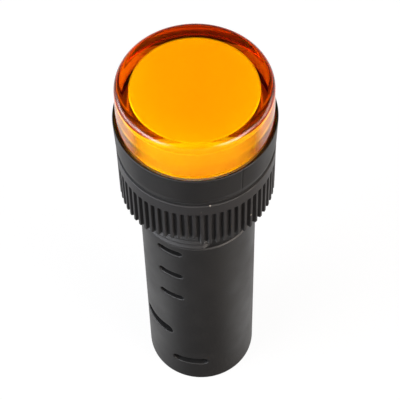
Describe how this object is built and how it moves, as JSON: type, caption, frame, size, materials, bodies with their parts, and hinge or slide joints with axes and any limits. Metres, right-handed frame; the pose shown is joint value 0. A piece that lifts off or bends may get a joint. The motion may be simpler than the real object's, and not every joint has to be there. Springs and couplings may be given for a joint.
{
  "type": "panel pilot light",
  "caption": "Round panel pilot light with a clear amber cap, ribbed lock nut and vented barrel for a 16 mm hole, with screw terminals recessed in its rear end.",
  "frame": {"origin": "centre of the rear rim, on the barrel's axis", "axes": "+Z along the barrel towards the lens; -Y is the side that the front row of cooling slots is turned from; +X is right of it seen with the lens up"},
  "size_m": [0.0202, 0.0202, 0.0614],
  "materials": {
    "black_housing": "fine matte moulded",
    "amber_lens": "clear polished amber plastic",
    "white_diffuser": "satin milky plastic",
    "seal_rubber": "matte",
    "black_nut": "fine matte moulded",
    "white_board": "white solder mask",
    "chip_phosphor": "silicone over phosphor",
    "pin_brass": "tinned brass",
    "green_board": "green solder mask",
    "film_box": "moulded box with resin fill",
    "can_sleeve": "shrink sleeve",
    "chip_black": "moulded epoxy",
    "resistor_tan": "lacquer",
    "resistor_blue": "lacquer",
    "black_block": "moulded, slight sheen",
    "terminal_brass": "stamped",
    "plated_steel": "bright zinc plate"
  },
  "bodies": {
    "lamp": {"housing": "black_housing", "lens_cap": "amber_lens", "diffuser": "white_diffuser", "lamp_board": "white_board", "lamp_chip_1": "chip_phosphor", "lamp_chip_2": "chip_phosphor", "lamp_chip_3": "chip_phosphor", "lamp_chip_4": "chip_phosphor", "lamp_chip_5": "chip_phosphor", "lamp_chip_6": "chip_phosphor", "board_pin_left": "pin_brass", "board_pin_right": "pin_brass", "driver_board": "green_board", "film_capacitor": "film_box", "filter_capacitor": "can_sleeve", "bridge_rectifier": "chip_black", "series_resistor": "resistor_tan", "bleed_resistor": "resistor_blue", "surge_diode": "chip_black", "terminal_block": "black_block", "terminal_strip_left": "terminal_brass", "terminal_strip_right": "terminal_brass", "clamp_plate_left": "plated_steel", "clamp_plate_right": "plated_steel", "terminal_screw_left": "plated_steel", "terminal_screw_right": "plated_steel"},
    "washer": {"sealing_washer": "seal_rubber"},
    "nut": {"lock_nut": "black_nut"}
  },
  "joints": [
    {"name": "washer_slide", "type": "slide", "parent": "lamp", "child": "washer", "axis": [0, 0, -1], "range_m": [0, 0.013]},
    {"name": "nut_turn", "type": "hinge", "parent": "washer", "child": "nut", "pos_m": [0, 0, 0.0455], "axis": [0, 0, -1], "range_deg": [0, 4680]}
  ],
  "couplings": [
    {"joint": "washer_slide", "follows": "nut_turn", "m_per_rad": 0.00015915}
  ]
}
